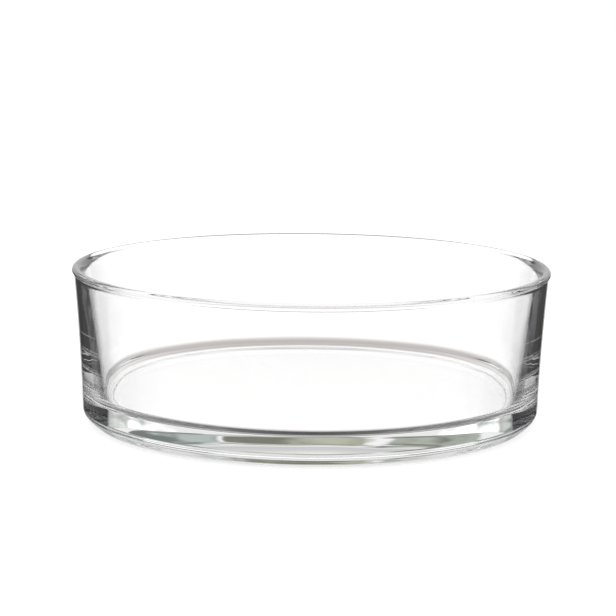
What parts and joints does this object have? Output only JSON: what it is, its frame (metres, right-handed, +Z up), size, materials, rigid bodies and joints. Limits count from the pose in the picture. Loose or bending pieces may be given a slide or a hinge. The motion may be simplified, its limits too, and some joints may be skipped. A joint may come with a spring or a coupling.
{
  "type": "floating candle bowl",
  "caption": "Round low clear glass dish with a rolled rim and a thick heel, which holds water and floating candles.",
  "frame": {"origin": "middle of the bearing ring under the dish, at table level", "axes": "+Z up along the dish's axis of revolution; X and Y are alike"},
  "size_m": [0.19, 0.19, 0.0621],
  "materials": {
    "clear_glass": "clear fire-polished soda-lime glass with a faint grey-green tint in its thick heel"
  },
  "bodies": {
    "root": {"glass_bowl": "clear_glass"}
  },
  "joints": []
}
